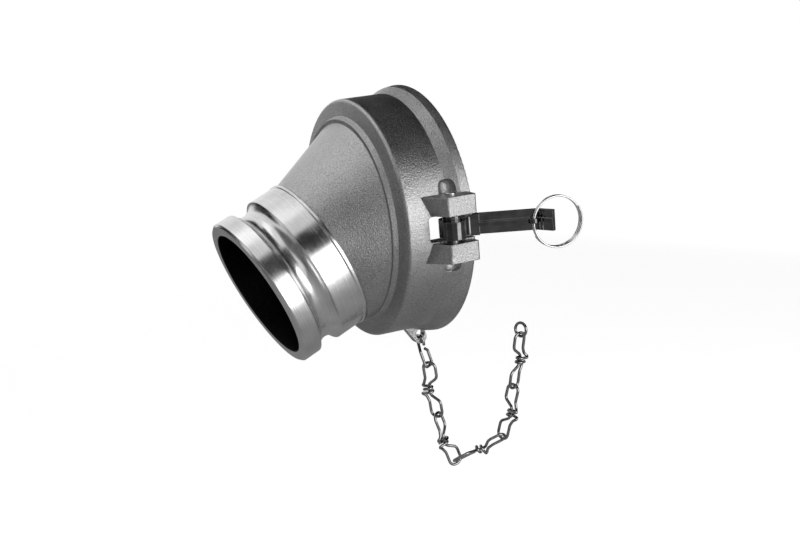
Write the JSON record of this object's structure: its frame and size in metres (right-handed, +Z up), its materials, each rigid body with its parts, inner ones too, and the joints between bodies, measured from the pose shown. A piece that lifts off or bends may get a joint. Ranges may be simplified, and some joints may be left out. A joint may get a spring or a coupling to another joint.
{
  "type": "gravity drop adapter",
  "caption": "Slanted reducing adapter with a cam and groove nose, a large socket closed by hinged cam arms with pull rings, and a hanging double-loop chain.",
  "frame": {"origin": "centre of the socket's mouth", "axes": "+X out of the socket's mouth along its bore, +Z up, so the nose points along -X and down"},
  "size_m": [0.2312, 0.2596, 0.3106],
  "materials": {
    "cast_aluminium": "sand cast, with a machined nose",
    "gasket_rubber": "matt",
    "pin_steel": "ground",
    "arm_steel": "polished",
    "ring_steel": "polished",
    "chain_steel": "plated"
  },
  "bodies": {
    "adapter": {"adapter_body": "cast_aluminium", "socket_gasket": "gasket_rubber", "near_hinge_pin": "pin_steel", "far_hinge_pin": "pin_steel"},
    "near_arm": {"near_cam_arm": "arm_steel"},
    "far_arm": {"far_cam_arm": "arm_steel"},
    "near_ring": {"near_pull_ring": "ring_steel"},
    "far_ring": {"far_pull_ring": "ring_steel"},
    "hook": {"chain_hook": "chain_steel"},
    "end_ring": {"chain_end_ring": "chain_steel"},
    "link_1": {"chain_link_1": "chain_steel"},
    "link_2": {"chain_link_2": "chain_steel"},
    "link_3": {"chain_link_3": "chain_steel"},
    "link_4": {"chain_link_4": "chain_steel"},
    "link_5": {"chain_link_5": "chain_steel"}
  },
  "joints": [
    {"name": "near_arm_hinge", "type": "hinge", "parent": "adapter", "child": "near_arm", "pos_m": [-0.0165, -0.093, 0], "axis": [0, 0, -1], "range_deg": [0, 150]},
    {"name": "far_arm_hinge", "type": "hinge", "parent": "adapter", "child": "far_arm", "pos_m": [-0.0165, 0.093, 0], "axis": [0, 0, 1], "range_deg": [0, 150]},
    {"name": "near_ring_hinge", "type": "hinge", "parent": "near_arm", "child": "near_ring", "pos_m": [0.03394, -0.11883, 0], "axis": [0, 0, -1], "range_deg": [-10, 60]},
    {"name": "far_ring_hinge", "type": "hinge", "parent": "far_arm", "child": "far_ring", "pos_m": [0.03394, 0.11883, 0], "axis": [0, 0, 1], "range_deg": [-10, 60]},
    {"name": "hook_hinge", "type": "hinge", "parent": "adapter", "child": "hook", "pos_m": [-0.0034, 0, -0.10253], "axis": [0, -1, 0], "range_deg": [-35, 20]},
    {"name": "chain_hinge_1", "type": "hinge", "parent": "hook", "child": "link_1", "pos_m": [0.00212, -0.00287, -0.12674], "axis": [-0.4618, -0.887, 0], "range_deg": [-20, 10]},
    {"name": "chain_hinge_2", "type": "hinge", "parent": "link_1", "child": "link_2", "pos_m": [0.00528, -0.00452, -0.17019], "axis": [-0.4618, -0.887, 0], "range_deg": [-30, 10]},
    {"name": "chain_hinge_3", "type": "hinge", "parent": "link_2", "child": "link_3", "pos_m": [0.01633, -0.01027, -0.21102], "axis": [-0.4618, -0.887, 0], "range_deg": [-90, 2]},
    {"name": "chain_hinge_4", "type": "hinge", "parent": "link_3", "child": "link_4", "pos_m": [0.05114, -0.02839, -0.19284], "axis": [-0.4618, -0.887, 0], "range_deg": [-45, 5]},
    {"name": "chain_hinge_5", "type": "hinge", "parent": "link_4", "child": "link_5", "pos_m": [0.06124, -0.03365, -0.15113], "axis": [-0.4618, -0.887, 0], "range_deg": [-25, 10]},
    {"name": "chain_hinge_6", "type": "hinge", "parent": "link_5", "child": "end_ring", "pos_m": [0.06822, -0.03728, -0.10825], "axis": [-0.4618, -0.887, 0], "range_deg": [-30, 20]}
  ]
}
